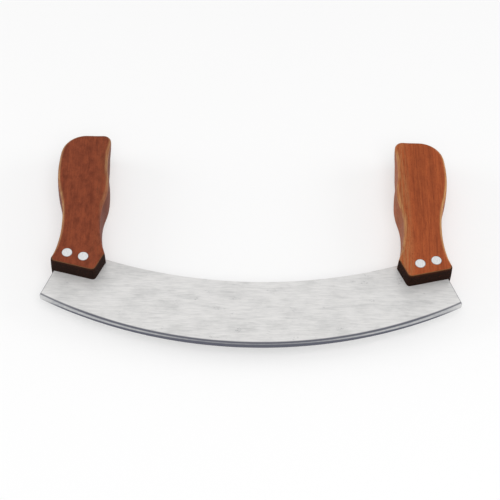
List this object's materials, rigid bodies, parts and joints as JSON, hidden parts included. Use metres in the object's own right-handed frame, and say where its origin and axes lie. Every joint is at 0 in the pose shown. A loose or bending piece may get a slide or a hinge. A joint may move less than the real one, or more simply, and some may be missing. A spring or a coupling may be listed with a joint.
{
  "type": "mezzaluna",
  "caption": "Mezzaluna chopping knife: a crescent steel blade, ground along its outer curve, riveted into the slotted feet of upright shaped wooden handles.",
  "frame": {"origin": "middle of the outline, on the plane that the backs of the two handles lie on", "axes": "+X along the blade from the left-hand handle to the right-hand one, +Y from the cutting edge up the handles, +Z from the backs of the handles to their fronts"},
  "size_m": [0.2386, 0.1426, 0.023],
  "materials": {
    "blade_steel": "fine satin brushing along the blade",
    "left_handle_wood": "dark red-brown hardwood, satin lacquer",
    "right_handle_wood": "orange-brown hardwood, satin lacquer",
    "rivet_metal": "matte, sanded flush with the wood"
  },
  "bodies": {
    "root": {"blade": "blade_steel", "left_handle": "left_handle_wood", "right_handle": "right_handle_wood", "left_inner_rivet_stud": "rivet_metal", "left_inner_rivet_socket": "rivet_metal", "left_outer_rivet_stud": "rivet_metal", "left_outer_rivet_socket": "rivet_metal", "right_inner_rivet_stud": "rivet_metal", "right_inner_rivet_socket": "rivet_metal", "right_outer_rivet_stud": "rivet_metal", "right_outer_rivet_socket": "rivet_metal"}
  },
  "joints": []
}
